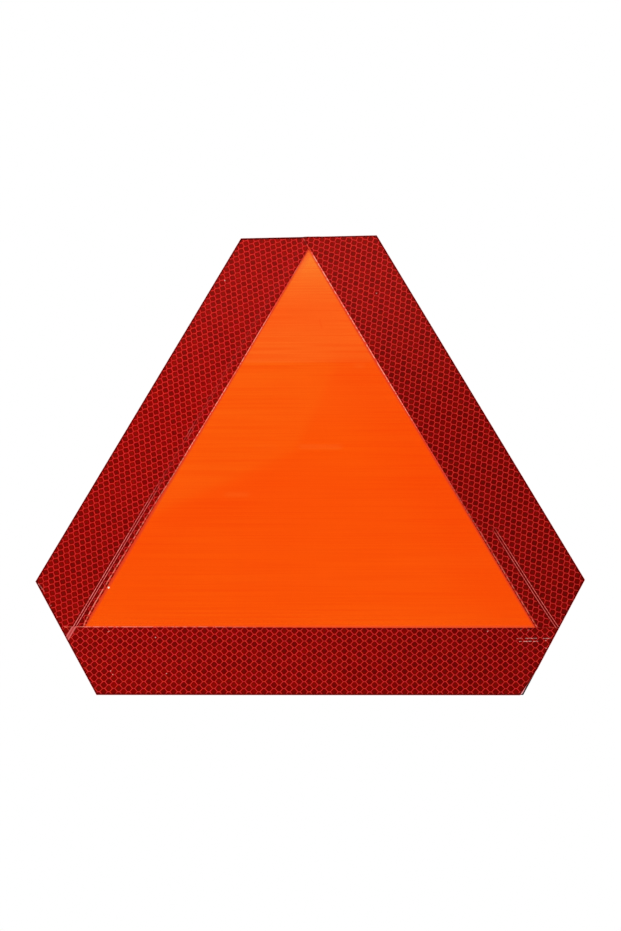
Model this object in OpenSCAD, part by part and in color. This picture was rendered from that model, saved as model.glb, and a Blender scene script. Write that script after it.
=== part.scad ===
// Triangular reflective rear plate. A sheet of aluminium with its corners cut off carries a
// bright orange film, and three lengths of red reflective tape are laid over the film's edges.
// The plate stands upright with its face towards -Y. The origin is the middle of its back face.

/* [Orange triangle] */
// Width of the orange triangle's base, as it shows between the side tapes
base_w = 336; // [300:1:370]
// Angle between the base and the left tape's inner edge
left_angle = 61; // [58:0.1:63]
// Angle between the base and the right tape's inner edge
right_angle = 60.5; // [58:0.1:63]

/* [Corner cuts] */
// How far the top cut lies beyond the triangle's tip
top_clear = 8.1; // [6:0.1:14]
// How far the top cut is out of square, as it was cut by hand
top_skew = 0.73; // [-2:0.01:2]
// How far the left cut lies beyond the triangle's left corner
left_clear = 15.4; // [12:0.1:20]
// How far the left cut is out of square
left_skew = -0.93; // [-2:0.01:2]
// How far the right cut lies beyond the triangle's right corner
right_clear = 15.2; // [12:0.1:20]
// How far the right cut is out of square
right_skew = 1.56; // [-2:0.01:2]

/* [Backing plate] */
// Thickness of the aluminium sheet
plate_t = 1.5; // [0.8:0.1:3]

/* [Orange film] */
// Thickness of the orange film
film_t = 0.25; // [0.15:0.05:0.4]
// How far the film runs on under the left tape
film_left = 5.8; // [2:0.1:10]
// How far the film runs on under the right tape, at the triangle's right corner
film_right = 12.1; // [10:0.1:15]
// How far the film's right edge is turned in from the tape's inner edge
film_turn = 1.4; // [-0.5:0.05:1.5]
// How far the film runs on under the bottom tape
film_below = 8.1; // [4:0.1:20]

/* [Red tape] */
// Width of the tape, as it comes off the roll
tape_w = 50; // [45:1:60]
// Thickness of the tape
tape_t = 0.4; // [0.25:0.05:0.6]
// Run of the tape beside an edge that it climbs over, for each millimetre that it climbs
bridge_run = 7.6; // [4:0.1:12]

/* [Short end] */
// How far the bottom tape falls short of the plate's right cut, along the bottom edge
short_w = 1; // [0.2:0.1:3]
// Length along the right cut over which the bottom tape falls short
short_l = 9; // [2:0.5:30]

/* [Hidden] */

// A direction in the plane of the plate, and the direction to its left
function along(a) = [cos(a), sin(a)];
function left_of(a) = [-sin(a), cos(a)];
function cross2(u, v) = u.x * v.y - u.y * v.x;

// Where the line through p at angle a meets the line through q at angle b
function meet(p, a, q, b) = p + along(a) * cross2(q - p, along(b)) / cross2(along(a), along(b));

// Corners of the orange triangle in the plane of the plate, with the base on the X axis
left_corner = [-base_w / 2, 0];
right_corner = [base_w / 2, 0];
tip = meet(left_corner, left_angle, right_corner, -right_angle);

// Clockwise round the triangle, so that each tape lies to the left of its inner edge
left_run = left_angle;
right_run = -right_angle;
bottom_run = 180;

// A point on each side of the plate, one tape's width outside the triangle
left_side = left_corner + tape_w * left_of(left_run);
right_side = right_corner + tape_w * left_of(right_run);
bottom_side = right_corner + tape_w * left_of(bottom_run);

// The three cuts, each across the line that halves its corner of the triangle
top_out = 90 + (left_angle - right_angle) / 2;
left_out = 180 + left_angle / 2;
right_out = -right_angle / 2;
top_cut = tip + top_clear * along(top_out);
left_cut = left_corner + left_clear * along(left_out);
right_cut = right_corner + right_clear * along(right_out);
top_cut_run = top_out - 90 + top_skew;
left_cut_run = left_out - 90 + left_skew;
right_cut_run = right_out - 90 + right_skew;

// Corners of the plate, clockwise from the top cut's left end
top_left = meet(left_side, left_run, top_cut, top_cut_run);
top_right = meet(top_cut, top_cut_run, right_side, right_run);
right_end = meet(right_side, right_run, right_cut, right_cut_run);
bottom_right = meet(right_cut, right_cut_run, bottom_side, bottom_run);
bottom_left = meet(bottom_side, bottom_run, left_cut, left_cut_run);
left_end = meet(left_cut, left_cut_run, left_side, left_run);
plate_corners = [top_left, top_right, right_end, bottom_right, bottom_left, left_end];

// Middle of the plate's own box, which is the middle of its back face
plate_xs = [for (p = plate_corners) p.x];
plate_ys = [for (p = plate_corners) p.y];
middle = [max(plate_xs) + min(plate_xs), max(plate_ys) + min(plate_ys)] / 2;

// Longer than anything on the plate, for shapes that are trimmed to it
reach = base_w + 2 * tape_w;

// Tallest stack: film, side tape and the tape over it
stack_t = film_t + 2 * tape_t;

// Depth below the sheet's face from which reliefs are drawn, so that no two of their faces meet
ground = stack_t + plate_t;

// Stands the plate up with its face to the front. Heights count from the sheet's face.
module stand_up() {
    rotate([90, 0, 0]) translate([-middle.x, -middle.y, plate_t]) children();
}

// The plate's outline, to which film and tapes are trimmed
module plate_outline() {
    polygon(plate_corners);
}

// Everything to the right of the line through p at angle a
module right_of_line(p, a) {
    translate(p) rotate(a) translate([-reach, -reach]) square([2 * reach, reach]);
}

// A strip of tape's width, to the left of the line through p at angle a
module tape_strip(p, a) {
    translate(p) rotate(a) translate([-reach, 0]) square([2 * reach, tape_w]);
}

// A layer of height h to the right of the line through p at angle a. Past the line it slopes
// down, as the underside of a tape does that is laid over the layer's edge.
module sloped_layer(p, a, h) {
    translate([p.x, p.y, 0]) rotate([0, 0, a]) translate([-reach, 0, 0])
        rotate([90, 0, 90]) linear_extrude(2 * reach)
            polygon([[-reach, -ground], [h * bridge_run, -ground], [h * bridge_run, 0], [0, h], [-reach, h]]);
}

// The bare face of the sheet
module sheet_face() {
    translate([-reach, -reach, -ground]) cube([2 * reach, 2 * reach, ground]);
}

// A point on each edge of the film
film_left_point = left_corner + film_left * left_of(left_run);
film_right_point = right_corner + film_right * left_of(right_run);
film_right_run = right_run + film_turn;
film_below_point = right_corner + film_below * left_of(bottom_run);

// What a tape meets that is laid over the film
module film_relief() {
    sheet_face();
    intersection() {
        sloped_layer(film_left_point, left_run, film_t);
        sloped_layer(film_right_point, film_right_run, film_t);
        sloped_layer(film_below_point, bottom_run, film_t);
    }
}

// The top of a side tape that lies on the film. Its inner edge is the line through p at
// angle a, seen the other way round, so that the tape lies to the right of it.
module tape_relief(p, a) {
    intersection() {
        sloped_layer(p, a + 180, film_t + tape_t);
        translate([0, 0, tape_t]) film_relief();
    }
}

// What the right tape meets: the film, and the left tape at the top
module right_tape_relief() {
    film_relief();
    tape_relief(left_corner, left_run);
}

// What the bottom tape meets: the film, and the ends of both side tapes
module bottom_tape_relief() {
    right_tape_relief();
    tape_relief(right_corner, right_run);
}

// A tape of even thickness, pressed down on the relief that is given after its outline
module laid_tape() {
    intersection() {
        translate([0, 0, -ground]) linear_extrude(2 * ground) intersection() {
            plate_outline();
            children(0);
        }
        difference() {
            translate([0, 0, tape_t]) children(1);
            children(1);
        }
    }
}

// The bottom tape's right end was cut a little short at its lower corner
module short_end() {
    polygon([
        bottom_right + short_w * along(bottom_run),
        bottom_right - short_l * along(right_cut_run),
        bottom_right + short_w * along(right_out),
    ]);
}

// The sheet, sheared along its six straight sides
module backing_plate() {
    color("silver") stand_up()
        translate([0, 0, -plate_t]) linear_extrude(plate_t) plate_outline();
}

// The orange film, stuck down before the tapes and trimmed with the sheet
module orange_film() {
    color("orangered") stand_up()
        linear_extrude(film_t) intersection() {
            plate_outline();
            right_of_line(film_left_point, left_run);
            right_of_line(film_right_point, film_right_run);
            right_of_line(film_below_point, bottom_run);
        }
}

// The left tape was laid first, over the film's left edge
module left_tape() {
    color("firebrick") stand_up() laid_tape() {
        tape_strip(left_corner, left_run);
        film_relief();
    }
}

// The right tape was laid next, over the film and the left tape's top end
module right_tape() {
    color("firebrick") stand_up() laid_tape() {
        tape_strip(right_corner, right_run);
        right_tape_relief();
    }
}

// The bottom tape was laid last, over the film and the lower ends of both side tapes
module bottom_tape() {
    color("firebrick") stand_up() laid_tape() {
        difference() {
            tape_strip(right_corner, bottom_run);
            short_end();
        }
        bottom_tape_relief();
    }
}

backing_plate();
orange_film();
left_tape();
right_tape();
bottom_tape();
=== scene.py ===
import math
import random

import bmesh
import bpy
from mathutils import Matrix, Vector
from mathutils.bvhtree import BVHTree


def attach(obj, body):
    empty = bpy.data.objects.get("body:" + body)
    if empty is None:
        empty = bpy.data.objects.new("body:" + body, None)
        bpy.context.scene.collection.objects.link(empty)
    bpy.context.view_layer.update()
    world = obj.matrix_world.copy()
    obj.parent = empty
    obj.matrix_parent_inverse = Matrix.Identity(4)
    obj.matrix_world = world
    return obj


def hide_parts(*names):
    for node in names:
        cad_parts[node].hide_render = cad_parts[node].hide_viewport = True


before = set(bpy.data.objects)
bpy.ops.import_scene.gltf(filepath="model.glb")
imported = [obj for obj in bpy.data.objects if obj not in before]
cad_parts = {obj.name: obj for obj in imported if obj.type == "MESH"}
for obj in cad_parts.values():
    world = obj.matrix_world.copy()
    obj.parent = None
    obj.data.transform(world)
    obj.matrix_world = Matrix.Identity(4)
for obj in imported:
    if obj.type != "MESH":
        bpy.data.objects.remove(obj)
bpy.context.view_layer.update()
MM = 0.001


# The backing sheet: 1.5 mm aluminium, sheared to a triangle with its three corners cut off.
# The shears roll the edge over on the side they enter and leave a dull torn band below it.
# Its back is the mill finish of the rolled sheet, and is the face that goes to the vehicle.

sheet_edge_roll = 0.14 * MM
sheet_dark_line = 1.1 * MM
weld = 0.002 * MM

# The stretch of the sheet's lower right cut that the bottom tape leaves bare, in millimetres
short_cut = ((158.27, 0, -179.49), (167.87, 0, -161.94))


def merged_copy(node):
    """A CAD node's mesh as one closed shell, with its flat faces whole."""
    shell = bmesh.new()
    shell.from_mesh(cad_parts[node].data)
    bmesh.ops.remove_doubles(shell, verts=shell.verts, dist=weld)
    flat_within = math.radians(0.2)
    bmesh.ops.dissolve_limit(shell, angle_limit=flat_within, verts=shell.verts, edges=shell.edges)
    return shell


def lay_down(shell, name, node, finish):
    """Makes a piece of a shell, gives it its finish and lets it stand for a CAD node."""
    mesh = bpy.data.meshes.new(name)
    shell.to_mesh(mesh)
    shell.free()
    mesh.materials.append(finish)
    piece = bpy.data.objects.new(name, mesh)
    bpy.context.scene.collection.objects.link(piece)
    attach(piece, "root")
    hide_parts(node)


def ink(red, green, blue):
    """A colour as a screen shows it, 0 to 255, for a shader."""
    shown = [c / 255 for c in (red, green, blue)]
    return [c / 12.92 if c <= 0.04045 else ((c + 0.055) / 1.055) ** 2.4 for c in shown] + [1.0]


def new_finish(name):
    """A material with one Principled shader, and its node tree."""
    finish = bpy.data.materials.new(name)
    finish.use_nodes = True
    return finish, finish.node_tree, finish.node_tree.nodes["Principled BSDF"]


def feed(tree, socket, source):
    """Links a source to a socket, or sets the socket to a plain value."""
    if isinstance(source, bpy.types.NodeSocket):
        tree.links.new(source, socket)
    else:
        socket.default_value = source


def calc(tree, operation, a, b=0.0, c=0.0):
    """One step of arithmetic on sockets and plain values."""
    node = tree.nodes.new("ShaderNodeMath")
    node.operation = operation
    for socket, source in zip(node.inputs, (a, b, c)):
        feed(tree, socket, source)
    return node.outputs[0]


def times(tree, a, b):
    """One socket or plain value times another."""
    return calc(tree, "MULTIPLY", a, b)


def fade(tree, source, start, end, low=0.0, high=1.0):
    """Runs smoothly from low at start to high at end, and stays there beyond them."""
    node = tree.nodes.new("ShaderNodeMapRange")
    node.interpolation_type = "SMOOTHSTEP"
    for socket, value in zip(node.inputs, (source, start, end, low, high)):
        feed(tree, socket, value)
    return node.outputs[0]


def tint(tree, amount, under, over, how="MIX"):
    """Lays a colour over another, by an amount from 0 to 1."""
    node = tree.nodes.new("ShaderNodeMix")
    node.data_type = "RGBA"
    node.blend_type = how
    feed(tree, node.inputs["Factor"], amount)
    feed(tree, node.inputs[6], under)
    feed(tree, node.inputs[7], over)
    return node.outputs[2]


def place(tree, stretch=(1, 1, 1), turn=(0, 0, 0)):
    """Object coordinates, stretched and turned to run with a surface's grain."""
    where = tree.nodes.new("ShaderNodeTexCoord")
    mapping = tree.nodes.new("ShaderNodeMapping")
    tree.links.new(where.outputs["Object"], mapping.inputs["Vector"])
    mapping.inputs["Rotation"].default_value = turn
    mapping.inputs["Scale"].default_value = stretch
    return mapping.outputs[0]


def grain(tree, where, scale, detail=2.0, roughness=0.5):
    """Noise round 0.5."""
    node = tree.nodes.new("ShaderNodeTexNoise")
    tree.links.new(where, node.inputs["Vector"])
    node.inputs["Scale"].default_value = scale
    node.inputs["Detail"].default_value = detail
    node.inputs["Roughness"].default_value = roughness
    return node.outputs["Fac"]


def stroke(tree, where, start, end, half_width, blur, face_out):
    """1 on a straight stroke from start to end, 0 off it."""
    start, end = Vector(start), Vector(end)
    way = (end - start).normalized()
    half_length = (end - start).length / 2
    offs = []
    for direction in (way, way.cross(Vector(face_out))):
        node = tree.nodes.new("ShaderNodeVectorMath")
        node.operation = "DOT_PRODUCT"
        tree.links.new(where, node.inputs[0])
        node.inputs[1].default_value = direction
        middle = (start + end).dot(direction) / 2
        offs.append(calc(tree, "ABSOLUTE", calc(tree, "SUBTRACT", node.outputs["Value"], middle)))
    lengthways = fade(tree, offs[0], half_length + 2 * blur, half_length - 2 * blur)
    across = fade(tree, offs[1], half_width + blur, half_width - blur)
    return times(tree, lengthways, across)


def relief(tree, shader, height, depth, strength):
    """Bump of a height from 0 to 1 that is worth depth in metres."""
    node = tree.nodes.new("ShaderNodeBump")
    node.inputs["Distance"].default_value = depth
    node.inputs["Strength"].default_value = strength
    tree.links.new(height, node.inputs["Height"])
    tree.links.new(node.outputs[0], shader.inputs["Normal"])


def mill_aluminium():
    """Rolled and cloudy behind. In front it shows only where the bottom tape falls short."""
    finish, tree, shader = new_finish("mill_aluminium")
    rolled = grain(tree, place(tree, stretch=(4, 60, 700)), 1.0, 4.0, 0.6)
    cloudy = grain(tree, place(tree, stretch=(9, 9, 9)), 1.0, 3.0, 0.55)
    fine = grain(tree, place(tree, stretch=(900, 900, 900)), 1.0, 2.0)
    scratch = grain(tree, place(tree, stretch=(14, 40, 900), turn=(0, 0.9, 0)), 1.0, 1.0)
    scratch = fade(tree, scratch, 0.70, 0.76)
    colour = tint(tree, rolled, ink(168, 171, 174), ink(205, 207, 209))
    colour = tint(tree, fade(tree, cloudy, 0.45, 0.75, 0.0, 0.45), colour, ink(150, 153, 157))
    colour = tint(tree, times(tree, scratch, 0.5), colour, ink(226, 227, 228))

    # The bare sliver of the front is pale, with a dark line along the cut and under the corner
    depth = tree.nodes.new("ShaderNodeSeparateXYZ")
    tree.links.new(place(tree), depth.inputs[0])
    faces = tree.nodes.new("ShaderNodeSeparateXYZ")
    geometry = tree.nodes.new("ShaderNodeNewGeometry")
    tree.links.new(geometry.outputs["True Normal"], faces.inputs[0])
    face = fade(tree, faces.outputs["Y"], -0.9, -0.97)
    colour = tint(tree, face, colour, ink(255, 190, 195))
    start, end = (Vector(point) * MM for point in short_cut)
    dark_line = stroke(tree, place(tree), start, end, sheet_dark_line, 0.06 * MM, (0, -1, 0))
    beside = start - Vector((4 * MM, 0, 0))
    under = stroke(tree, place(tree), start, beside, sheet_dark_line / 2, 0.06 * MM, (0, -1, 0))
    dark_line = calc(tree, "MAXIMUM", dark_line, under)
    front = fade(tree, depth.outputs["Y"], -1.2 * MM, -1.35 * MM)
    colour = tint(tree, times(tree, dark_line, front), colour, ink(32, 2, 2))

    # The sheared walls are painted dark brown, partly as painted shade and partly for the tape and glue
    # on them: a smeared band at the front, then a torn one
    wall = fade(tree, calc(tree, "ABSOLUTE", faces.outputs["Y"]), 0.9, 0.7)
    torn = fade(tree, depth.outputs["Y"], -1.05 * MM, -0.9 * MM)
    sheared = tint(tree, torn, ink(74, 40, 38), ink(66, 52, 50))
    sheared = tint(tree, fade(tree, fine, 0.4, 0.7, 0.0, 0.6), sheared, ink(40, 26, 25))
    colour = tint(tree, wall, colour, sheared)
    feed(tree, shader.inputs["Base Color"], colour)
    plain = calc(tree, "MAXIMUM", face, wall)
    feed(tree, shader.inputs["Metallic"], fade(tree, plain, 0.0, 1.0, 0.9, 0.0))
    shader.inputs["Specular IOR Level"].default_value = 0.2
    rough = calc(tree, "MULTIPLY_ADD", rolled, 0.22, 0.34)
    rough = calc(tree, "MULTIPLY_ADD", cloudy, 0.12, rough)
    rough = calc(tree, "MULTIPLY_ADD", wall, 0.25, rough)
    feed(tree, shader.inputs["Roughness"], rough)
    height = calc(tree, "MULTIPLY_ADD", rolled, 0.6, times(tree, fine, 0.4))
    height = calc(tree, "MULTIPLY_ADD", scratch, -0.8, height)
    relief(tree, shader, height, 0.02 * MM, 0.6)
    return finish


sheet = merged_copy("backing_plate")
sheet.normal_update()
upright = 0.2
sheet_walls = [
    (f.calc_center_median(), f.normal.copy()) for f in sheet.faces if abs(f.normal.y) < upright
]
bmesh.ops.bevel(
    sheet,
    geom=sheet.edges[:],
    offset=sheet_edge_roll,
    offset_type="OFFSET",
    affect="EDGES",
    segments=3,
    profile=0.5,
    material=-1,
    clamp_overlap=True,
)
lay_down(sheet, "sheared_sheet", "backing_plate", mill_aluminium())


# The orange film: a fluorescent sign film, stuck to the bare sheet as one triangle.
# It runs on under all three tapes, so only its face shows, and its shape stays as the
# CAD part has it. It is glossy, with faint lines across it from the roll it was made on.

left_corner = Vector((-167.692, 0, -129.487)) * MM
right_corner = Vector((168.308, 0, -129.487)) * MM
tip = Vector((-1.412, 0, 170.491)) * MM
left_angle = math.radians(61)
right_angle = math.radians(-60.5)
base_angle = math.radians(180)


def out_of(angle):
    """The way from a tape's inner edge to its outer one."""
    return Vector((-math.sin(angle), 0, math.cos(angle)))


def distance_out(tree, point, angle):
    """How far a point of the face lies to the outer side of a tape's inner edge, in metres."""
    node = tree.nodes.new("ShaderNodeVectorMath")
    node.operation = "DOT_PRODUCT"
    tree.links.new(place(tree), node.inputs[0])
    node.inputs[1].default_value = out_of(angle)
    return calc(tree, "SUBTRACT", node.outputs["Value"], point.dot(out_of(angle)))


def spot(tree, where, centre, radius):
    """1 on a small round spot, 0 off it."""
    node = tree.nodes.new("ShaderNodeVectorMath")
    node.operation = "DISTANCE"
    tree.links.new(where, node.inputs[0])
    node.inputs[1].default_value = centre
    return fade(tree, node.outputs["Value"], radius, radius * 0.5)


def between(tree, source, starts, full, wanes, gone):
    """1 from full to wanes, and 0 before starts and after gone."""
    return times(tree, fade(tree, source, starts, full), fade(tree, source, gone, wanes))


def shades(tree, source, steps):
    """Runs through a list of (value, colour) steps."""
    ramp = tree.nodes.new("ShaderNodeValToRGB")
    first, last = steps[0][0], steps[-1][0]
    feed(tree, ramp.inputs[0], calc(tree, "DIVIDE", calc(tree, "SUBTRACT", source, first), last - first))
    for value, colour in steps[1:-1]:
        ramp.color_ramp.elements.new((value - first) / (last - first)).color = colour
    ramp.color_ramp.elements[0].color = steps[0][1]
    ramp.color_ramp.elements[-1].color = steps[-1][1]
    return ramp.outputs[0]


def fluorescent_film():
    """Glossy orange with a painted reflection that makes it paler to the tip, faint lines across, marks
    of the sheet below and painted shade beside the tapes.
    """
    finish, tree, shader = new_finish("fluorescent_film")
    where = tree.nodes.new("ShaderNodeSeparateXYZ")
    tree.links.new(place(tree), where.inputs[0])
    height = calc(tree, "DIVIDE", where.outputs["Z"], MM)
    # Painted reflection: the film is painted paler towards the tip, as the light above mirrored in it
    colour = shades(
        tree,
        height,
        [
            (-130.0, ink(255, 92, 7)),
            (-112.0, ink(255, 88, 5)),
            (-24.0, ink(255, 85, 5)),
            (8.0, ink(255, 87, 4)),
            (76.5, ink(255, 95, 13)),
            (77.1, ink(255, 107, 27)),
            (94.0, ink(255, 107, 28)),
            (110.0, ink(255, 102, 27)),
            (121.0, ink(255, 103, 28)),
            (142.0, ink(255, 119, 38)),
            (160.0, ink(255, 138, 48)),
            (171.0, ink(255, 140, 50)),
        ],
    )

    # A pale reflection is painted above this height, where something pale is mirrored. Below it, the
    # film has
    # patches of painted reflection: paler at the upper left, in front of a darker band, and deeper at
    # the right
    lower = fade(tree, height, 76.9, 76.5)

    def beyond(point, direction):
        """How far a point of the film lies to the left of a line."""
        out = Vector((-direction[1], 0, direction[0])).normalized()
        node = tree.nodes.new("ShaderNodeVectorMath")
        node.operation = "DOT_PRODUCT"
        tree.links.new(place(tree), node.inputs[0])
        node.inputs[1].default_value = out
        return calc(tree, "SUBTRACT", node.outputs["Value"], (Vector(point) * MM).dot(out))

    steep = beyond((20.6, 0, 74.2), (0.43, 0.903))
    shallow = beyond((-8, 0, 8), (0.911, 0.413))
    side = calc(tree, "MINIMUM", steep, shallow)
    pale = times(tree, fade(tree, side, -5 * MM, 5 * MM, 0.0, 0.38), lower)
    colour = tint(tree, pale, colour, ink(254, 106, 14))
    deep = between(tree, shallow, -34 * MM, -18 * MM, -9 * MM, -2 * MM)
    deep = times(tree, deep, fade(tree, where.outputs["X"], 5 * MM, -45 * MM))
    colour = tint(tree, times(tree, deep, 0.10), colour, ink(250, 56, 2))
    right_side = distance_out(tree, tip, right_angle)
    right_side = fade(tree, right_side, -58 * MM, -10 * MM, 0.0, 0.30)
    right_side = times(tree, right_side, fade(tree, height, 106.0, 76.0))
    colour = tint(tree, right_side, colour, ink(249, 64, 2))

    # Streaks of painted reflection and a crease, in millimetres: start, end, half width, blur, strength,
    # colour
    wear_and_reflection, creased = ink(255, 108, 30), ink(250, 60, 2)
    for start, end, half, blur, amount, shown in (
        ((-8, 0, 9.7), (24, 0, 9.6), 2.0, 1.5, 0.40, wear_and_reflection),
        ((-42, 0, 9.7), (-24, 0, 9.6), 2.0, 1.5, 0.10, wear_and_reflection),
        ((-64, 0, -27.4), (-46, 0, -27.5), 1.7, 1.5, 0.30, wear_and_reflection),
        ((34, 0, 73.6), (41, 0, 73.6), 1.7, 1.5, 0.30, wear_and_reflection),
        ((6.6, 0, 111.5), (8.9, 0, 103.5), 0.6, 0.4, 0.20, creased),
    ):
        start, end = Vector(start) * MM, Vector(end) * MM
        mark = stroke(tree, place(tree), start, end, half * MM, blur * MM, (0, -1, 0))
        colour = tint(tree, times(tree, mark, amount), colour, shown)

    # Lines across the film from the roll, and a little unevenness
    lines = grain(tree, place(tree, stretch=(7, 1, 900)), 1.0, 3.0, 0.6)
    broad = grain(tree, place(tree, stretch=(5, 1, 60)), 1.0, 2.0, 0.5)
    cloud = grain(tree, place(tree, stretch=(16, 1, 16)), 1.0, 2.0, 0.5)
    speckle = grain(tree, place(tree, stretch=(1300, 1, 1300)), 1.0, 1.0)
    colour = tint(tree, fade(tree, lines, 0.38, 0.66, 0.0, 0.42), colour, ink(249, 65, 1))
    colour = tint(tree, fade(tree, speckle, 0.35, 0.65, 0.0, 0.16), colour, ink(247, 68, 1))
    colour = tint(tree, fade(tree, broad, 0.45, 0.70, 0.0, 0.10), colour, ink(255, 96, 14))
    colour = tint(tree, fade(tree, cloud, 0.40, 0.70, 0.0, 0.10), colour, ink(250, 70, 4))

    # Painted shade and red light beside the tapes, whose cut edges shade the film and throw their colour
    # on it. The tapes' inner edges wander a little, so each distance is counted from where its edge lies
    # at that height
    beside_left = distance_out(tree, left_corner, left_angle)
    wander = fade(tree, height, -33.0, 60.0, 0.0, -0.55 * MM)
    beside_left = calc(tree, "SUBTRACT", beside_left, wander)
    beside_right = distance_out(tree, tip, right_angle)
    wander = fade(tree, height, 14.0, 75.0, -0.3 * MM, -1.2 * MM)
    beside_right = calc(tree, "SUBTRACT", beside_right, wander)
    nearer = calc(tree, "MAXIMUM", beside_left, beside_right)
    shade = fade(tree, nearer, -1.9 * MM, 0.2 * MM, 0.0, 0.8)
    base = distance_out(tree, right_corner, base_angle)
    shade = calc(tree, "MAXIMUM", shade, fade(tree, base, -1.2 * MM, 0.4 * MM, 0.0, 0.45))
    colour = tint(tree, shade, colour, ink(222, 58, 34))
    colour = tint(tree, fade(tree, base, -2.2 * MM, -0.6 * MM, 0.0, 0.40), colour, ink(230, 80, 54))
    tip_side = fade(tree, beside_left, -6 * MM, -1 * MM)
    tip_side = times(tree, tip_side, fade(tree, height, 140.0, 158.0))
    colour = tint(tree, times(tree, tip_side, 0.45), colour, ink(248, 84, 44))
    speck = spot(tree, place(tree), Vector((-150.3, -1.75, -99.0)) * MM, 0.95 * MM)
    colour = tint(tree, speck, colour, ink(255, 236, 214))
    feed(tree, shader.inputs["Base Color"], colour)
    shader.inputs["Specular IOR Level"].default_value = 0.02
    feed(tree, shader.inputs["Roughness"], calc(tree, "MULTIPLY_ADD", cloud, 0.15, 0.24))
    relief(tree, shader, lines, 0.004 * MM, 0.4)
    return finish


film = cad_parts["orange_film"]
film.data.materials.clear()
film.data.materials.append(fluorescent_film())


# The red tape: a metre or so of prismatic marking tape, cut from one 50 mm roll and laid
# over the film's edges. Two plastic films are sealed together along a net of six-sided
# cells. The seals show as bright lines, and the cells between them lie dark.

tape_thickness = 0.4 * MM
tape_width = 50 * MM
cell_pitch_across = 5.055 * MM
cell_bar = 0.79 * MM
cell_rise = 0.045 * MM
cell_shoulder = 0.22 * MM
cell_crown = 0.02 * MM
crown_reach = 1.4 * MM
cell_ring = 0.65 * MM
cut_roll = 0.5 * MM
cut_drop = 0.16 * MM
inner_roll = 0.35 * MM
inner_drop = 0.08 * MM
inner_band = 4 * MM
overhang = 0.25 * MM
overhang_below = 0.45 * MM
falls_short_by = 0.95 * MM
shortest_fold = 3 * MM
run_in = 30 * MM
snap = 0.001 * MM
same_line = 0.02 * MM
sharp_past = math.radians(40)


def run_of(angle):
    """The way a tape runs."""
    return Vector((math.cos(angle), 0, math.sin(angle)))


def hexagon_depth(u, v, pitch):
    """How far inside its own cell a point lies, in millimetres from the seal's middle."""
    half_across = cell_pitch_across / 2 / MM
    half_point = pitch / 2 / MM - cell_bar / MM
    half_bar = cell_bar / MM
    lean = Vector((half_across, half_point - half_bar)).normalized()
    to_bar = half_across - abs(v)
    to_side = (half_point - abs(u)) * lean.x - abs(v) * lean.y
    return min(to_bar, to_side)


def interpolate(points, x):
    """Straight-line value at x of a list of (x, y) points."""
    if x <= points[0][0]:
        return points[0][1]
    for (x0, y0), (x1, y1) in zip(points, points[1:]):
        if x <= x1:
            return y0 + (y1 - y0) * (x - x0) / (x1 - x0)
    return points[-1][1]


def cell_net(length, pitch, seal):
    """A flat sheet of six-sided cells in the tape's own plane: X along the run, Y outward."""
    net = bmesh.new()
    half_point = pitch / 2 - cell_bar
    bmesh.ops.create_circle(net, cap_ends=True, segments=6, radius=1)
    bmesh.ops.rotate(net, verts=net.verts, matrix=Matrix.Rotation(math.pi / 2, 3, "Z"))
    points = [v for v in net.verts if abs(v.co.y) < 0.1]
    bars = [v for v in net.verts if abs(v.co.y) >= 0.1]
    bmesh.ops.scale(net, verts=points, vec=(half_point, 1, 1))
    bars_wide = cell_bar / 0.5
    bars_high = cell_pitch_across / 2 / math.sin(math.pi / 3)
    bmesh.ops.scale(net, verts=bars, vec=(bars_wide, bars_high, 1))
    for width in (seal, cell_shoulder, cell_ring):
        middle = [max(net.faces, key=lambda f: (len(f.verts), -f.calc_center_median().length))]
        bmesh.ops.inset_individual(net, faces=middle, thickness=width, use_even_offset=True)
    middle = [f for f in net.faces if len(f.verts) == 6]
    bmesh.ops.poke(net, faces=middle)
    both = bmesh.ops.duplicate(net, geom=net.verts[:] + net.edges[:] + net.faces[:])
    second = [g for g in both["geom"] if isinstance(g, bmesh.types.BMVert)]
    step = Vector((pitch / 2, cell_pitch_across / 2, 0))
    bmesh.ops.translate(net, verts=second, vec=step)
    for step, steps in (
        (Vector((pitch, 0, 0)), int(length / pitch) + 6),
        (Vector((0, cell_pitch_across, 0)), int(tape_width / cell_pitch_across) + 3),
    ):
        bmesh.ops.spin(
            net,
            geom=net.verts[:] + net.edges[:] + net.faces[:],
            cent=(0, 0, 0),
            axis=(0, 0, 1),
            dvec=step,
            angle=0,
            steps=steps,
            use_duplicate=True,
        )
    bmesh.ops.remove_doubles(net, verts=net.verts, dist=0.01 * MM)
    return net


def cut_run(net, points, reach, keep):
    """Cuts the net along a line of (u, v) points in mm. keep False removes what lies inside it.
    Only the cells within reach of the tape's inner side are touched."""
    for (u0, v0), (u1, v1) in zip(points, points[1:]):
        a, b = Vector((u0, v0, 0)) * MM, Vector((u1, v1, 0)) * MM
        along = (b - a).normalized()
        inner = Vector((along.y, -along.x, 0))
        band = [f for f in net.faces if f.calc_center_median().y < reach]
        for end in (a, b):
            geom = band + [e for f in band for e in f.edges] + [v for f in band for v in f.verts]
            geom = list(dict.fromkeys(geom))
            made = bmesh.ops.bisect_plane(net, geom=geom, dist=snap, plane_co=end, plane_no=(1, 0, 0))
            band = [g for g in made["geom"] if isinstance(g, bmesh.types.BMFace)]
        part = [f for f in band if a.x < f.calc_center_median().x < b.x]
        geom = part + [e for f in part for e in f.edges] + [v for f in part for v in f.verts]
        bmesh.ops.bisect_plane(
            net,
            geom=list(dict.fromkeys(geom)),
            dist=snap,
            plane_co=a,
            plane_no=inner,
            clear_outer=not keep,
        )


def walls_of(cad, back_to_flat):
    """The CAD tape's cut sides in the tape's own plane, each by a point and the way it faces."""
    walls = []
    for face in cad.faces:
        if abs(face.normal.y) < upright:
            normal = (back_to_flat.to_3x3() @ face.normal).normalized()
            walls.append((back_to_flat @ face.calc_center_median(), normal))
    return walls


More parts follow.
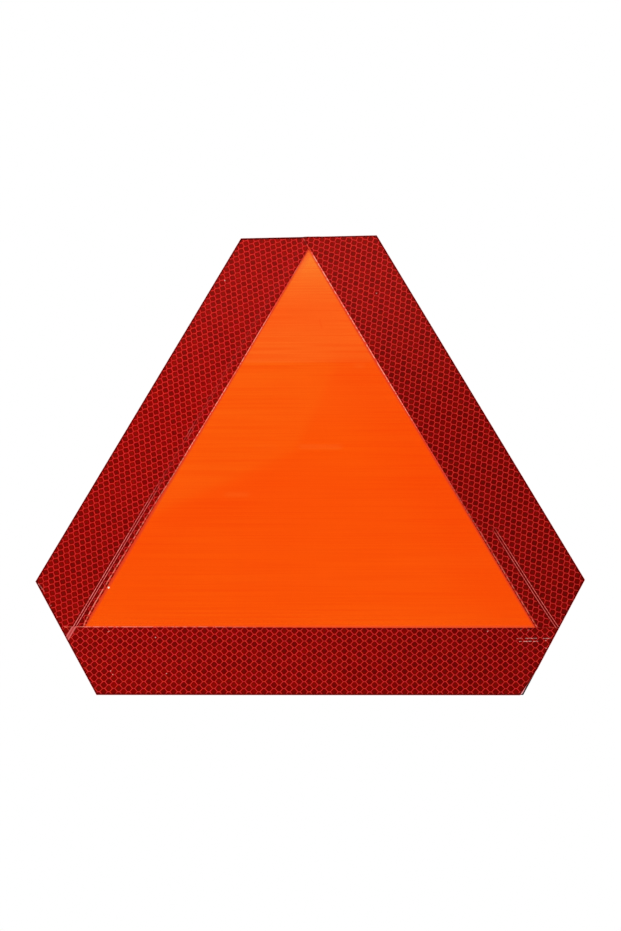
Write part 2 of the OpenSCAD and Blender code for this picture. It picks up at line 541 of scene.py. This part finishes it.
def folds_of(cad, back_to_flat):
    """The folds of the CAD tape's front in the tape's own plane, each by a point and its way."""
    folds = []
    for edge in cad.edges:
        fronts = [f for f in edge.link_faces if f.normal.y < -0.5]
        if len(fronts) == 2 and edge.calc_length() > shortest_fold:
            a, b = (back_to_flat @ v.co for v in edge.verts)
            folds.append((a, (b - a).normalized()))
    return folds


def outlines_of(walls):
    """All walls but the inner one, each line of them once."""
    outlines = []
    for point, normal in [w for w in walls if w[1].y > -0.9]:
        known = (abs((point - p).dot(n)) < same_line and normal.dot(n) > 0.999 for p, n in outlines)
        if not any(known):
            outlines.append((point, normal))
    return outlines


def as_sheared(outlines, flat):
    """The shears drag the tape a little past the sheet, except where it was cut short."""
    sheared = []
    for point, normal in outlines:
        turned = flat.to_3x3() @ normal
        past = -falls_short_by
        for wall, wall_normal in sheet_walls:
            off_wall = abs((flat @ point - wall).dot(wall_normal))
            if turned.dot(wall_normal) > 0.9999 and off_wall < same_line:
                past = overhang_below if wall_normal.z < -0.9 else overhang
        sheared.append((point + normal * past, normal))
    return sheared


def close_behind(net, heights):
    """Grows the front back by the tape's thickness, and makes the back plain."""

    def face_on(vert):
        return round(vert.co.x, 7), round(vert.co.z, 7)

    behind = {face_on(v): heights[v] + tape_thickness for v in net.verts}
    grown = bmesh.ops.extrude_face_region(net, geom=net.faces[:])
    made = [g for g in grown["geom"] if isinstance(g, bmesh.types.BMVert)]
    for vert in made:
        vert.co.y = behind[face_on(vert)]
    bmesh.ops.recalc_face_normals(net, faces=net.faces)

    # The back is flat but for its slopes, so the cells' edges come out of it
    made_set = set(made)
    back_faces = [f for f in net.faces if all(v in made_set for v in f.verts)]
    back_set = set(back_faces)
    back_edges = [
        e
        for e in dict.fromkeys(e for f in back_faces for e in f.edges)
        if all(f in back_set for f in e.link_faces)
    ]
    back_verts = [v for v in made if all(f in back_set for f in v.link_faces)]
    bmesh.ops.dissolve_limit(
        net,
        angle_limit=math.radians(0.1),
        use_dissolve_boundaries=False,
        verts=back_verts,
        edges=back_edges,
    )

    # Smooth but for the edges of the cuts
    for face in net.faces:
        face.smooth = True
    for edge in net.edges:
        if len(edge.link_faces) == 2 and edge.calc_face_angle() > sharp_past:
            edge.smooth = False


def red_tape(tape):
    """Cuts one length of tape from the roll, lays it as the CAD tape lies, and closes it."""
    start, angle, pitch = tape["start"], tape["angle"], tape["pitch"]
    run, out = run_of(angle), out_of(angle)
    flat = Matrix((run, out, Vector((0, -1, 0)))).transposed().to_4x4()
    flat.translation = start
    back_to_flat = flat.inverted()

    # The CAD tape gives the front that the net is dropped on, its walls and its folds
    cad = merged_copy(tape["node"])
    cad.normal_update()
    laid = BVHTree.FromBMesh(cad)
    walls = walls_of(cad, back_to_flat)
    folds = folds_of(cad, back_to_flat)
    cad.free()
    centre = sum((p for p, n in walls), Vector()) / len(walls)
    cad_outlines = outlines_of(walls)
    outlines = as_sheared(cad_outlines, flat)

    # A net that is laid off from the inner edge, with the tape's own cells where they fell
    net = cell_net(tape["length"], pitch, tape["seal"])
    rising, falling = tape["first_cell"]
    shift_u = -(rising + falling) * pitch / 2
    shift_v = -(rising - falling) * cell_pitch_across / 2
    first_u = shift_u - pitch * math.ceil(run_in / pitch)
    first_v = shift_v - cell_pitch_across
    origin = Vector((first_u + pitch / 2, first_v, 0))
    bmesh.ops.translate(net, verts=net.verts, vec=origin)

    def whole():
        return net.verts[:] + net.edges[:] + net.faces[:]

    def slice_net(point, normal, clear=False):
        bmesh.ops.bisect_plane(
            net, geom=whole(), dist=snap, plane_co=point, plane_no=normal, clear_outer=clear
        )

    # The cuts, each with a second line inside it where the tape begins to roll over
    for point, normal in outlines:
        slice_net(point, normal, clear=True)
        slice_net(point - normal * cut_roll, normal)
    inner_edge = tape["inner_edge"]
    cut_run(net, inner_edge, inner_band, False)
    cut_run(net, [(u, v + inner_roll / MM) for u, v in inner_edge], inner_band + 1 * MM, True)
    for point, along in folds:
        at_inner_edge = abs(along.y) <= 0.02 and abs(along.x) >= 0.98 and point.y <= 0.2 * MM
        if not at_inner_edge:
            slice_net(point, Vector((along.y, -along.x, 0)))
    bmesh.ops.dissolve_degenerate(net, dist=weld, edges=net.edges)
    loose = [v for v in net.verts if not v.link_faces]
    bmesh.ops.delete(net, geom=loose, context="VERTS")

    # Each cell has its own shade, and each point of it knows how deep in the cell it lies
    tone = net.faces.layers.float.new("tone")
    shade = net.faces.layers.float.new("shade")
    names = "inward light from_fold fold_shows from_cut cut_shows glow from_outline"
    layer = {name: net.verts.layers.float.new(name) for name in names.split()}
    draw = random.Random(tape["seed"])
    cell_shades = {}

    def own_cell(u, v):
        """How deep a point lies in the cell that holds it, and that cell's column and row."""
        best = None
        for shifted in (0, 1):
            cu = (u - origin.x) / pitch - shifted / 2
            cv = (v - origin.y) / cell_pitch_across - shifted / 2
            column, row = round(cu), round(cv)
            du = (cu - column) * pitch / MM
            dv = (cv - row) * cell_pitch_across / MM
            depth = hexagon_depth(du, dv, pitch)
            if best is None or depth > best[0]:
                best = (depth, (column, row, shifted))
        return best

    for face in net.faces:
        middle = face.calc_center_median()
        cell = own_cell(middle.x, middle.y)[1]
        if cell not in cell_shades:
            cell_shades[cell] = (draw.random(), draw.random())
        face[tone], face[shade] = cell_shades[cell]

    for vert in net.verts:
        u, v = vert.co.x, vert.co.y
        vert[layer["inward"]] = max(0.0, own_cell(u, v)[0])
        vert[layer["light"]] = interpolate(tape["light"], u / MM)
        vert[layer["from_fold"]] = v / MM - interpolate(tape["fold"], u / MM)
        vert[layer["fold_shows"]] = interpolate(tape["fold_shows"], u / MM)
        vert[layer["from_cut"]] = v / MM - interpolate(tape["cut_line"], u / MM)
        vert[layer["cut_shows"]] = interpolate(tape["cut_shows"], u / MM)
        vert[layer["glow"]] = interpolate(tape["glow"], u / MM)
        vert[layer["from_outline"]] = min((p - vert.co).dot(n) for p, n in outlines) / MM

    run_map = net.loops.layers.uv.new("run")
    for face in net.faces:
        for loop in face.loops:
            loop[run_map].uv = (loop.vert.co.x / MM, loop.vert.co.y / MM)

    # The height of the laid tape's front under each point. A point past the CAD tape takes
    # the height of the nearest place on it
    heights = {}
    in_front = -20 * MM
    off_inner, off_outline, to_centre = 0.02 * MM, 0.01 * MM, 2e-5
    for vert in net.verts:
        inside = vert.co.copy()
        inside.y = max(inside.y, off_inner)
        for point, normal in cad_outlines:
            inside -= normal * max(0.0, (inside - point).dot(normal) + off_outline)
        inside += (centre - inside) * to_centre
        place_on = flat @ inside
        hit = laid.ray_cast(Vector((place_on.x, in_front, place_on.z)), Vector((0, 1, 0)))
        front = hit[0].y if hit[0] is not None else laid.find_nearest(place_on)[0].y
        heights[vert] = front

    # The cells rise from their seals, and the tape's edges roll over
    for vert in net.verts:
        depth = vert[layer["inward"]] - tape["seal"] / MM
        pad = min(1.0, max(0.0, depth / (cell_shoulder / MM)))
        crown = min(1.0, max(0.0, (depth - cell_shoulder / MM) / (crown_reach / MM)))
        near = max(0.0, 1 - vert[layer["from_outline"]] / (cut_roll / MM))
        from_edge = vert.co.y / MM - interpolate(inner_edge, vert.co.x / MM)
        edge = max(0.0, 1 - from_edge / (inner_roll / MM))
        drop = cut_drop * near**2 + inner_drop * edge**2
        spot_on = flat @ vert.co
        rise = cell_rise * pad + cell_crown * math.sin(crown * math.pi / 2)
        vert.co = Vector((spot_on.x, heights[vert] + cell_rise + cell_crown - rise + drop, spot_on.z))
    close_behind(net, heights)
    lay_down(net, tape["piece"], tape["node"], tape["finish"])


def read(tree, name):
    """What a point or a face of the tape was told about itself."""
    node = tree.nodes.new("ShaderNodeAttribute")
    node.attribute_name = name
    return node.outputs["Fac"]


def grey_of(tree, brightness):
    """A grey, which darkens or brightens the colour it multiplies."""
    grey = tree.nodes.new("ShaderNodeCombineColor")
    for socket in grey.inputs:
        tree.links.new(brightness, socket)
    return grey.outputs[0]


def red_tape_finish(look):
    """Seal lines with a painted glint, dark cells with a brownish middle painted as a dark reflection,
    and the marks of cutting and laying, with painted highlights and glow along the cut and the creases.
    """
    finish, tree, shader = new_finish(look["name"])
    run_map = tree.nodes.new("ShaderNodeUVMap")
    run_map.uv_map = "run"
    run = run_map.outputs[0]
    # Each tape shows another stretch of the same noise
    mapping = tree.nodes.new("ShaderNodeMapping")
    tree.links.new(run, mapping.inputs["Vector"])
    mapping.inputs["Location"].default_value = (look["seed"] * 13.7, look["seed"] * 7.9, 0)
    spread = mapping.outputs[0]
    inward = read(tree, "inward")
    tone = read(tree, "tone")
    shade = read(tree, "shade")
    light = read(tree, "light")
    mottle = grain(tree, spread, 0.35, 2.0)
    fine = grain(tree, spread, 2.6, 2.0)

    # Cells: pure red beside the seal, browner in the middle, where a dark reflection is painted
    depth = calc(tree, "MULTIPLY_ADD", fine, 0.5, calc(tree, "SUBTRACT", inward, 0.25))
    warmth = fade(tree, grain(tree, spread, 0.9, 1.0), 0.38, 0.62)
    core = tint(tree, warmth, look["core"], look["warm_core"])
    cell = tint(tree, fade(tree, depth, 0.75, 1.55), look["rim"], core)
    cell = tint(tree, fade(tree, shade, 0.55, 1.0, 0.0, 0.35), cell, look["rim"])
    # Each cell's brightness takes its tone, a mottle and the light painted along the tape
    brightness = calc(tree, "MULTIPLY_ADD", tone, 0.34, 0.83)
    brightness = times(tree, brightness, calc(tree, "MULTIPLY_ADD", mottle, 0.4, 0.8))
    brightness = times(tree, brightness, light)
    cell = tint(tree, 1.0, cell, grey_of(tree, brightness), "MULTIPLY")

    # Seals: bright, with a painted glint along their middle, the painted light along the tape and a
    # little life along them
    bright = fade(tree, mottle, 0.30, 0.70, 0.86, 1.12)
    bright = times(tree, bright, calc(tree, "MULTIPLY_ADD", light, 0.55, 0.45))
    glint = tint(tree, warmth, look["glint"], look["warm_glint"])
    line = tint(tree, fade(tree, inward, 0.21, 0.08), look["seal"], glint)
    line = tint(tree, 1.0, line, grey_of(tree, bright), "MULTIPLY")
    seal_half = look["seal_half"]
    colour = tint(tree, fade(tree, inward, seal_half + 0.04, seal_half - 0.02), cell, line)

    # A painted pale reflection, a little paler towards the tip of the triangle
    where = tree.nodes.new("ShaderNodeSeparateXYZ")
    tree.links.new(place(tree), where.inputs[0])
    painted_veil = fade(tree, where.outputs["Z"], 20 * MM, 160 * MM, 0.0, 0.03)
    colour = tint(tree, painted_veil, colour, ink(232, 92, 82))

    # The film's edge under the tape: two pale creases, painted highlights on its folds where air has
    # also got under the tape, in a dark channel
    from_fold = calc(tree, "ABSOLUTE", read(tree, "from_fold"))
    shows = read(tree, "fold_shows")
    channel = times(tree, fade(tree, from_fold, 2.4, 1.8), shows)
    colour = tint(tree, times(tree, channel, 0.88), colour, look["channel"])
    off = calc(tree, "ABSOLUTE", calc(tree, "SUBTRACT", from_fold, look["fold_half"]))
    broken = fade(tree, grain(tree, spread, 0.75, 1.0), 0.34, 0.58, 0.36, 1.0)
    outer_one = fade(tree, read(tree, "from_fold"), -0.5, 0.5, 0.88, 1.0)
    shows = times(tree, shows, outer_one)
    crease = times(tree, fade(tree, off, 0.46, 0.22, 0.0, 0.7), shows)
    colour = tint(tree, crease, colour, look["crease_side"])
    crease = times(tree, fade(tree, off, 0.30, 0.09), times(tree, shows, broken))
    colour = tint(tree, crease, colour, look["crease"])

    # The cut along the inner edge: red light that gets in there is painted as a glow, with a pale broken
    # line, partly a painted highlight on the cut and partly where the two films part, and the first
    # seals lie dark beside it
    from_cut = read(tree, "from_cut")
    cut_shows = read(tree, "cut_shows")
    beside = between(tree, from_cut, 0.55, 0.95, 1.1, 1.9)
    colour = tint(tree, times(tree, beside, 0.36), colour, ink(92, 2, 1))
    glow = times(tree, between(tree, from_cut, -0.9, -0.6, 0.30, 0.70), read(tree, "glow"))
    colour = tint(tree, times(tree, glow, 0.92), colour, ink(250, 58, 34))
    nicks = fade(tree, grain(tree, spread, 0.45, 3.0), 0.38, 0.56, 0.12, 1.0)
    pale_line = fade(tree, calc(tree, "ABSOLUTE", from_cut), 0.42, 0.18)
    pale_line = times(tree, pale_line, times(tree, cut_shows, nicks))
    colour = tint(tree, pale_line, colour, ink(255, 170, 148))

    # Where a stripe of the film's edge shows through as a pale band, with a painted highlight along each
    # side
    if look["band"]:
        off = distance_out(tree, left_corner, left_angle)
        dark = between(tree, off, 8.4 * MM, 8.8 * MM, 9.4 * MM, 10.0 * MM)
        colour = tint(tree, times(tree, dark, 0.45), colour, ink(104, 2, 1))
        band = between(tree, off, 5.0 * MM, 5.4 * MM, 8.4 * MM, 8.8 * MM)
        colour = tint(tree, times(tree, band, 0.84), colour, ink(194, 72, 71))
        # The two pale lines are painted highlights on the sides of the film's edge
        sides = calc(tree, "ABSOLUTE", calc(tree, "SUBTRACT", off, 6.92 * MM))
        sides = calc(tree, "ABSOLUTE", calc(tree, "SUBTRACT", sides, 1.05 * MM))
        sides = fade(tree, sides, 0.62 * MM, 0.1 * MM, 0.0, 0.6)
        colour = tint(tree, sides, colour, ink(246, 126, 121))

    # The tape is darker along the plate's outline, and the shears leave a red lip on it
    outline_darkening = grain(tree, spread, 0.45, 3.0)
    edge = calc(tree, "SUBTRACT", read(tree, "from_outline"), 0.3)
    edge = calc(tree, "MULTIPLY_ADD", outline_darkening, 0.6, edge)
    top_cut = fade(tree, where.outputs["Z"], 170 * MM, 175 * MM, 0.0, look["top_outline_darkening"])
    edge = calc(tree, "SUBTRACT", edge, top_cut)
    colour = tint(tree, fade(tree, edge, 1.20, 0.75, 0.0, 0.94), colour, look["outline_darkening"])
    lip = calc(tree, "MULTIPLY_ADD", outline_darkening, 0.12, read(tree, "from_outline"))
    colour = tint(tree, fade(tree, lip, 0.42, 0.28, 0.0, 0.92), colour, ink(208, 28, 24))

    # Scratches and specks
    wear_and_reflection = fade(tree, grain(tree, spread, 1.3, 1.0), 0.36, 0.54, 0.15, 1.0)
    for start, end, half, amount in look["scratches"]:
        mark = stroke(tree, run, (*start, 0), (*end, 0), half, 0.12, (0, 0, 1))
        mark = times(tree, mark, wear_and_reflection)
        colour = tint(tree, times(tree, mark, amount), colour, ink(255, 196, 186))
    for u, v, radius, amount in look["specks"]:
        mark = spot(tree, run, (u, v, 0), radius)
        colour = tint(tree, times(tree, mark, amount), colour, ink(250, 190, 176))
    feed(tree, shader.inputs["Base Color"], colour)
    shader.inputs["Specular IOR Level"].default_value = 0.006
    rough = calc(tree, "MULTIPLY_ADD", mottle, 0.16, 0.26)
    feed(tree, shader.inputs["Roughness"], rough)
    relief(tree, shader, fine, 0.01 * MM, 0.35)
    return finish


# Each tape's table. Lists of (u, value) run along the tape in millimetres: how much light is painted on
# it, where its inner edge and the pale line in it lie, how red the painted glow at that edge is, and how
# much of the line and of the creases shows. first_cell gives a cell's place on the tape, in steps
# along the net's rising rows and its falling ones.

red_tape(
    {
        "piece": "left_red_tape",
        "node": "left_tape",
        "start": left_corner,
        "angle": left_angle,
        "length": 345 * MM,
        "pitch": 7.40 * MM,
        "first_cell": (0.172, -0.140),
        "seal": 0.48 * MM,
        "seed": 1,
        "light": [(-20, 0.84), (57, 0.87), (172, 1.0), (287, 1.05), (345, 1.08)],
        "inner_edge": [
            (-40, 0), (2, 0.0), (10, 0.8), (24, 1.1), (110, 1.0), (140, 0.5),
            (175, 0.1), (200, -0.3), (230, -0.45), (400, -0.45),
        ],
        "cut_line": [
            (0, 0.8), (4, 1.6), (12, 2.2), (20, 2.5), (40, 2.5), (70, 2.1), (96, 2.0), (110, 1.6),
            (130, 0.8), (156, 0.5), (175, 0.15), (200, -0.1), (230, -0.35), (310, -0.5), (318, -0.65),
            (328, -0.55), (334, -0.3), (400, -0.3),
        ],
        "glow": [
            (0, 0.4), (110, 0.2), (150, 0.4), (156, 0.95), (215, 1.0), (300, 0.9), (312, 0.5),
            (328, 0.3), (345, 0.2),
        ],
        "cut_shows": [
            (0, 0.5), (10, 0.65), (60, 0.5), (110, 0.4), (150, 0.55), (156, 1), (212, 1), (217, 0.35),
            (224, 0.25), (229, 0.95), (278, 0.9), (283, 0.2), (312, 0.2), (314, 1), (321, 1), (324, 0.3),
            (327, 0.7), (330, 0.15), (345, 0.0),
        ],
        "fold": [(0, 6.73), (60, 6.68), (110, 6.53), (400, 6.33)],
        "fold_shows": [
            (-2, 1.0), (60, 0.95), (80, 0.8), (105, 0.6), (125, 0.1), (160, 0.05), (168, 0.35),
            (178, 0.1), (400, 0.0),
        ],
        "finish": red_tape_finish(
            {
                "name": "red_tape_left",
                "seed": 1,
                "seal": ink(190, 7, 4),
                "glint": ink(206, 54, 64),
                "warm_glint": ink(210, 66, 49),
                "rim": ink(143, 1, 0),
                "core": ink(130, 11, 13),
                "warm_core": ink(131, 24, 5),
                "seal_half": 0.48,
                "channel": ink(108, 3, 2),
                "crease": ink(255, 148, 142),
                "crease_side": ink(222, 32, 28),
                "outline_darkening": ink(44, 6, 5),
                "top_outline_darkening": 0.35,
                "fold_half": 0.88,
                "band": False,
                "scratches": [
                    ((12.1, 47.5), (9.1, 40.6), 0.22, 0.35),
                    ((2.4, 30.8), (2.1, 30.2), 0.35, 0.5),
                    ((-2.7, 22.1), (-3.1, 21.6), 0.3, 0.3),
                ],
                "specks": [(35.5, -0.3, 0.5, 0.9), (287.5, 44.0, 0.6, 0.7)],
            }
        ),
    }
)

red_tape(
    {
        "piece": "right_red_tape",
        "node": "right_tape",
        "start": tip,
        "angle": right_angle,
        "length": 345 * MM,
        "pitch": 7.42 * MM,
        "first_cell": (0.2474, -0.146),
        "seal": 0.40 * MM,
        "seed": 2,
        "light": [
            (-10, 1.36), (57, 1.28), (120, 1.04), (172, 0.97), (230, 0.92), (287, 0.90), (345, 0.87),
        ],
        "inner_edge": [(-40, -1.15), (50, -1.15), (110, -0.95), (180, -0.3), (245, -0.1), (400, -0.1)],
        "cut_line": [
            (-40, -0.5), (0, -0.8), (40, -0.8), (60, -0.68), (110, -0.58), (180, -0.3), (250, 0.4),
            (262, 0.9), (400, 0.95),
        ],
        "glow": [
            (-3, 0.0), (2, 0.6), (7, 1.0), (110, 1.0), (200, 0.8), (225, 0.3), (255, 0.15), (345, 0.3),
        ],
        "cut_shows": [
            (-40, 0.35), (-7, 0.35), (-6, 0.05), (-3, 0.03), (-2, 0.25), (-1, 0.05), (3, 0.1), (6, 0.9),
            (8, 1.0), (44, 0.95), (47, 0.4), (51, 0.4), (54, 0.95), (150, 0.85), (165, 0.5), (172, 0.2),
            (235, 0.16), (262, 0.26), (290, 0.32), (340, 0.32),
        ],
        "fold": [(260, 10.88), (275, 11.28), (300, 11.93), (320, 12.43), (340, 13.18), (352, 13.93)],
        "fold_shows": [(262, 0.0), (272, 0.6), (300, 0.85), (345, 0.9), (360, 0.8)],
        "finish": red_tape_finish(
            {
                "name": "red_tape_right",
                "seed": 2,
                "seal": ink(178, 5, 3),
                "glint": ink(193, 54, 63),
                "warm_glint": ink(196, 66, 49),
                "rim": ink(126, 1, 0),
                "core": ink(109, 8, 10),
                "warm_core": ink(110, 20, 4),
                "seal_half": 0.40,
                "channel": ink(96, 3, 2),
                "crease": ink(250, 130, 122),
                "crease_side": ink(182, 20, 16),
                "outline_darkening": ink(40, 5, 5),
                "top_outline_darkening": 0.0,
                "fold_half": 0.93,
                "band": False,
                "scratches": [],
                "specks": [(59.1, 26.6, 0.5, 0.5)],
            }
        ),
    }
)

red_tape(
    {
        "piece": "bottom_red_tape",
        "node": "bottom_tape",
        "start": right_corner,
        "angle": base_angle,
        "length": 336 * MM,
        "pitch": 7.43 * MM,
        "first_cell": (-0.0737, -0.0895),
        "seal": 0.31 * MM,
        "seed": 3,
        "light": [(-30, 0.80), (56, 0.85), (168, 1.0), (280, 1.06), (360, 1.08)],
        "inner_edge": [
            (-60, 0.1), (60, 0.2), (110, 0.15), (180, -0.15), (240, -0.7), (330, -0.8), (400, -0.8),
        ],
        "cut_line": [(-60, -0.1), (60, 0.0), (110, -0.1), (180, -0.5), (240, -0.7), (400, -0.75)],
        "glow": [(60, 0.0), (110, 0.2), (180, 0.5), (240, 0.5), (290, 0.8), (334, 0.9), (338, 0.5)],
        "cut_shows": [
            (-20, 0.3), (0, 0.15), (60, 0.2), (110, 0.3), (180, 0.5), (240, 0.55), (290, 0.7),
            (334, 0.85), (338, 0.5), (352, 0.5),
        ],
        "fold": [(-20, 9.1), (400, 9.1)],
        "fold_shows": [(-20, 0.0), (400, 0.0)],
        "finish": red_tape_finish(
            {
                "name": "red_tape_bottom",
                "seed": 3,
                "seal": ink(191, 5, 3),
                "glint": ink(208, 56, 67),
                "warm_glint": ink(213, 69, 51),
                "rim": ink(132, 1, 0),
                "core": ink(114, 8, 10),
                "warm_core": ink(115, 20, 4),
                "seal_half": 0.31,
                "channel": ink(96, 3, 2),
                "crease": ink(250, 130, 122),
                "crease_side": ink(182, 20, 16),
                "outline_darkening": ink(42, 5, 5),
                "top_outline_darkening": 0.0,
                "fold_half": 1.1,
                "band": True,
                "scratches": [
                    ((14.3, 8.3), (10.0, 8.2), 0.16, 0.5),
                    ((7.8, 8.1), (-0.8, 8.1), 0.17, 0.65),
                    ((-5.2, 8.2), (-10.6, 8.3), 0.17, 0.65),
                    ((12.4, 10.5), (10.6, 10.4), 0.18, 0.7),
                    ((9.4, 10.4), (3.0, 10.3), 0.20, 0.8),
                    ((2.2, 10.4), (-1.4, 10.3), 0.18, 0.7),
                    ((35.9, 3.3), (35.2, 2.4), 0.24, 0.6),
                    ((6.2, 2.6), (4.8, 1.2), 0.16, 0.3),
                    ((11.4, 2.1), (10.4, 1.0), 0.16, 0.3),
                    ((318.2, 3.3), (316.8, 2.5), 0.22, 0.5),
                ],
                "specks": [
                    (-7.2, 9.8, 0.45, 0.6), (282.4, 7.4, 0.5, 0.8), (315.3, 32.5, 0.45, 0.8),
                    (313.6, 35.2, 0.45, 0.7), (273.7, 34.4, 0.45, 0.8), (-7.3, 15.6, 0.45, 0.6),
                ],
            }
        ),
    }
)


# The stage: a pale floor below the plate, a white surround, two soft boxes in front and one
# behind. The camera stands where the photograph was taken from, a little below the plate.

floor_level = -0.62
floor_reach = 9.0
floor_stays_to, white_from = 0.9, 2.6
surround_light = 0.62

floor_mesh = bmesh.new()
bmesh.ops.create_grid(floor_mesh, x_segments=8, y_segments=8, size=floor_reach)
bmesh.ops.translate(floor_mesh, verts=floor_mesh.verts, vec=(0, 0, floor_level))
mesh = bpy.data.meshes.new("floor")
floor_mesh.to_mesh(mesh)
floor_mesh.free()


def seen_directly(tree):
    """1 where the camera or a mirror looks, 0 where light is only gathered."""
    paths = tree.nodes.new("ShaderNodeLightPath")
    seen = calc(tree, "MAXIMUM", paths.outputs["Is Camera Ray"], paths.outputs["Is Glossy Ray"])
    return calc(tree, "MAXIMUM", seen, paths.outputs["Is Transmission Ray"])


floor_finish, tree, shader = new_finish("floor_paper")
dust = grain(tree, place(tree), 3.0, 2.0)
feed(tree, shader.inputs["Base Color"], tint(tree, dust, ink(238, 238, 238), ink(243, 243, 243)))
shader.inputs["Roughness"].default_value = 0.9
shader.inputs["Specular IOR Level"].default_value = 0.0
mesh.materials.append(floor_finish)
glow = tree.nodes.new("ShaderNodeEmission")
glow.inputs["Color"].default_value = (1, 1, 1, 1)
reach = tree.nodes.new("ShaderNodeVectorMath")
reach.operation = "LENGTH"
tree.links.new(place(tree), reach.inputs[0])
far = fade(tree, reach.outputs["Value"], floor_stays_to, white_from)
mixed = tree.nodes.new("ShaderNodeMixShader")
tree.links.new(times(tree, seen_directly(tree), far), mixed.inputs[0])
tree.links.new(shader.outputs[0], mixed.inputs[1])
tree.links.new(glow.outputs[0], mixed.inputs[2])
tree.links.new(mixed.outputs[0], tree.nodes["Material Output"].inputs["Surface"])
floor = bpy.data.objects.new("floor", mesh)
bpy.context.scene.collection.objects.link(floor)

world = bpy.data.worlds.new("white_surround")
bpy.context.scene.world = world
world.use_nodes = True
tree = world.node_tree
tree.nodes["Background"].inputs["Color"].default_value = (1, 1, 1, 1)
strength = calc(tree, "MULTIPLY_ADD", seen_directly(tree), 1.0 - surround_light, surround_light)
feed(tree, tree.nodes["Background"].inputs["Strength"], strength)


def soft_box(name, position, width, height, power):
    """A lamp that looks at the plate's middle and is itself out of sight."""
    lamp = bpy.data.lights.new(name, "AREA")
    lamp.shape = "RECTANGLE"
    lamp.size, lamp.size_y = width, height
    lamp.energy = power
    box = bpy.data.objects.new(name, lamp)
    bpy.context.scene.collection.objects.link(box)
    box.location = position
    box.rotation_euler = (-Vector(position)).to_track_quat("-Z", "Y").to_euler()
    box.visible_camera = False
    box.visible_glossy = False


soft_box("front_left_box", (-1.5, -2.2, 1.5), 1.2, 1.6, 24)
soft_box("front_right_box", (1.7, -2.2, 1.1), 1.2, 1.6, 14)
soft_box("rear_box", (0.8, 2.2, 1.3), 1.4, 1.4, 16)

camera_data = bpy.data.cameras.new("photo_camera")
camera = bpy.data.objects.new("photo_camera", camera_data)
bpy.context.scene.collection.objects.link(camera)
camera_data.sensor_width = 36
camera_data.sensor_fit = "AUTO"
camera_data.lens = 84.2565
camera_data.clip_start = 0.05
camera_data.clip_end = 60
camera_data.dof.use_dof = False
right = Vector((0.999419, 0.033603, 0.005721))
up = Vector((0.002766, -0.247221, 0.968955))
ahead = Vector((-0.033974, 0.968375, 0.247171))
turn = Matrix((right, up, -ahead)).transposed().to_4x4()
camera.matrix_world = Matrix.Translation(Vector((56.69, -1600.98, -413.2)) * MM) @ turn
bpy.context.scene.camera = camera

bpy.context.scene.view_settings.view_transform = "Standard"
